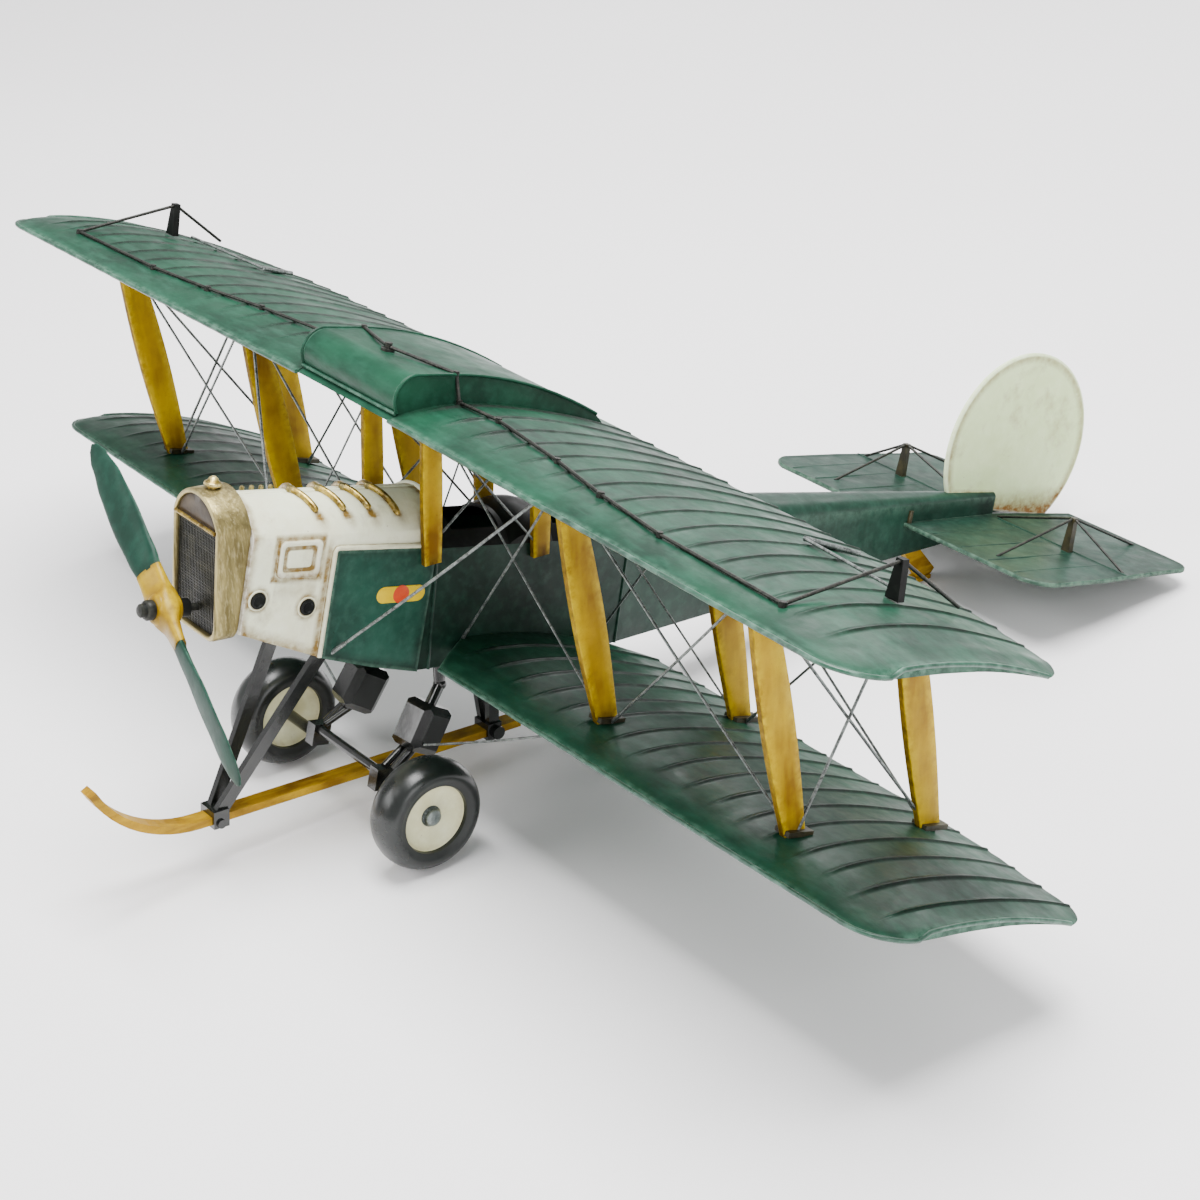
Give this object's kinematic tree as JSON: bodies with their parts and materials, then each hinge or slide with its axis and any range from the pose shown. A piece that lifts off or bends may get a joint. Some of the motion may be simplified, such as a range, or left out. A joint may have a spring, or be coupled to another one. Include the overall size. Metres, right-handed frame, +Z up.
{
  "type": "propeller plane model",
  "caption": "Tin display model of a biplane with a nose radiator, turning propeller and wheels, a landing skid, wire-braced wings, and a disc rudder, resting tail-down",
  "frame": {"origin": "bottom centre of the bounding box: on the ground, midway along the length and the span", "axes": "+X to the aeroplane's port wing tip, -Y the way the nose points, +Z up; the model stands tail-down on both tyres and the tail skid"},
  "size_m": [0.4602, 0.436, 0.1579],
  "materials": {
    "green_paint": "satin",
    "black_paint": "satin",
    "cream_paint": "satin",
    "ochre_paint": "satin",
    "aged_brass": "aged",
    "brown_paint": "satin",
    "steel_wire": "satin",
    "tyre_black": "gloss"
  },
  "bodies": {
    "airframe": {"fuselage_shell": "green_paint", "mid_deck": "black_paint", "cockpit_seats": "brown_paint", "engine_cowl": "cream_paint", "side_panel_left": "green_paint", "side_panel_right": "green_paint", "panel_beading": "cream_paint", "cowl_hatches": "cream_paint", "exhaust_ports": "black_paint", "cowl_hoops": "aged_brass", "radiator_shell": "aged_brass", "radiator_core": "black_paint", "header_tank": "aged_brass", "filler_cap": "aged_brass", "shaft_bush": "black_paint", "upper_wing_left": "green_paint", "upper_wing_right": "green_paint", "centre_section": "green_paint", "lower_wing_left": "green_paint", "lower_wing_right": "green_paint", "strut_left_inner_front": "ochre_paint", "strut_left_inner_rear": "ochre_paint", "strut_left_outer_front": "ochre_paint", "strut_left_outer_rear": "ochre_paint", "strut_right_inner_front": "ochre_paint", "strut_right_inner_rear": "ochre_paint", "strut_right_outer_front": "ochre_paint", "strut_right_outer_rear": "ochre_paint", "cabane_struts_left": "ochre_paint", "cabane_struts_right": "ochre_paint", "strut_fittings": "black_paint", "rigging_left": "steel_wire", "rigging_right": "steel_wire", "centre_wires": "steel_wire", "aileron_cable_left": "black_paint", "aileron_cable_right": "black_paint", "cable_pulleys": "black_paint", "aileron_horns": "black_paint", "aileron_rods": "black_paint", "tailplane": "green_paint", "tail_kingposts": "black_paint", "tail_wires": "black_paint", "rudder": "cream_paint", "tail_skid": "ochre_paint", "landing_skid": "ochre_paint", "front_v_struts": "black_paint", "rear_skid_struts": "black_paint", "leg_tubes": "black_paint", "shock_boxes": "black_paint", "axle": "black_paint"},
    "propeller": {"prop_blades": "green_paint", "prop_boss": "ochre_paint", "prop_nut": "black_paint", "prop_shaft": "steel_wire"},
    "left_wheel": {"tyre_left": "tyre_black", "wheel_disc_left": "cream_paint", "hub_cap_left": "steel_wire"},
    "right_wheel": {"tyre_right": "tyre_black", "wheel_disc_right": "cream_paint", "hub_cap_right": "steel_wire"}
  },
  "joints": [
    {"name": "propeller_spin", "type": "hinge", "parent": "airframe", "child": "propeller", "pos_m": [0, -0.18507, 0.09421], "axis": [0, -0.9675, 0.2528], "continuous": true},
    {"name": "left_wheel_spin", "type": "hinge", "parent": "airframe", "child": "left_wheel", "pos_m": [0.0425, -0.12473, 0.0186], "axis": [1, 0, 0], "continuous": true},
    {"name": "right_wheel_spin", "type": "hinge", "parent": "airframe", "child": "right_wheel", "pos_m": [-0.0425, -0.12473, 0.0186], "axis": [1, 0, 0], "continuous": true}
  ]
}
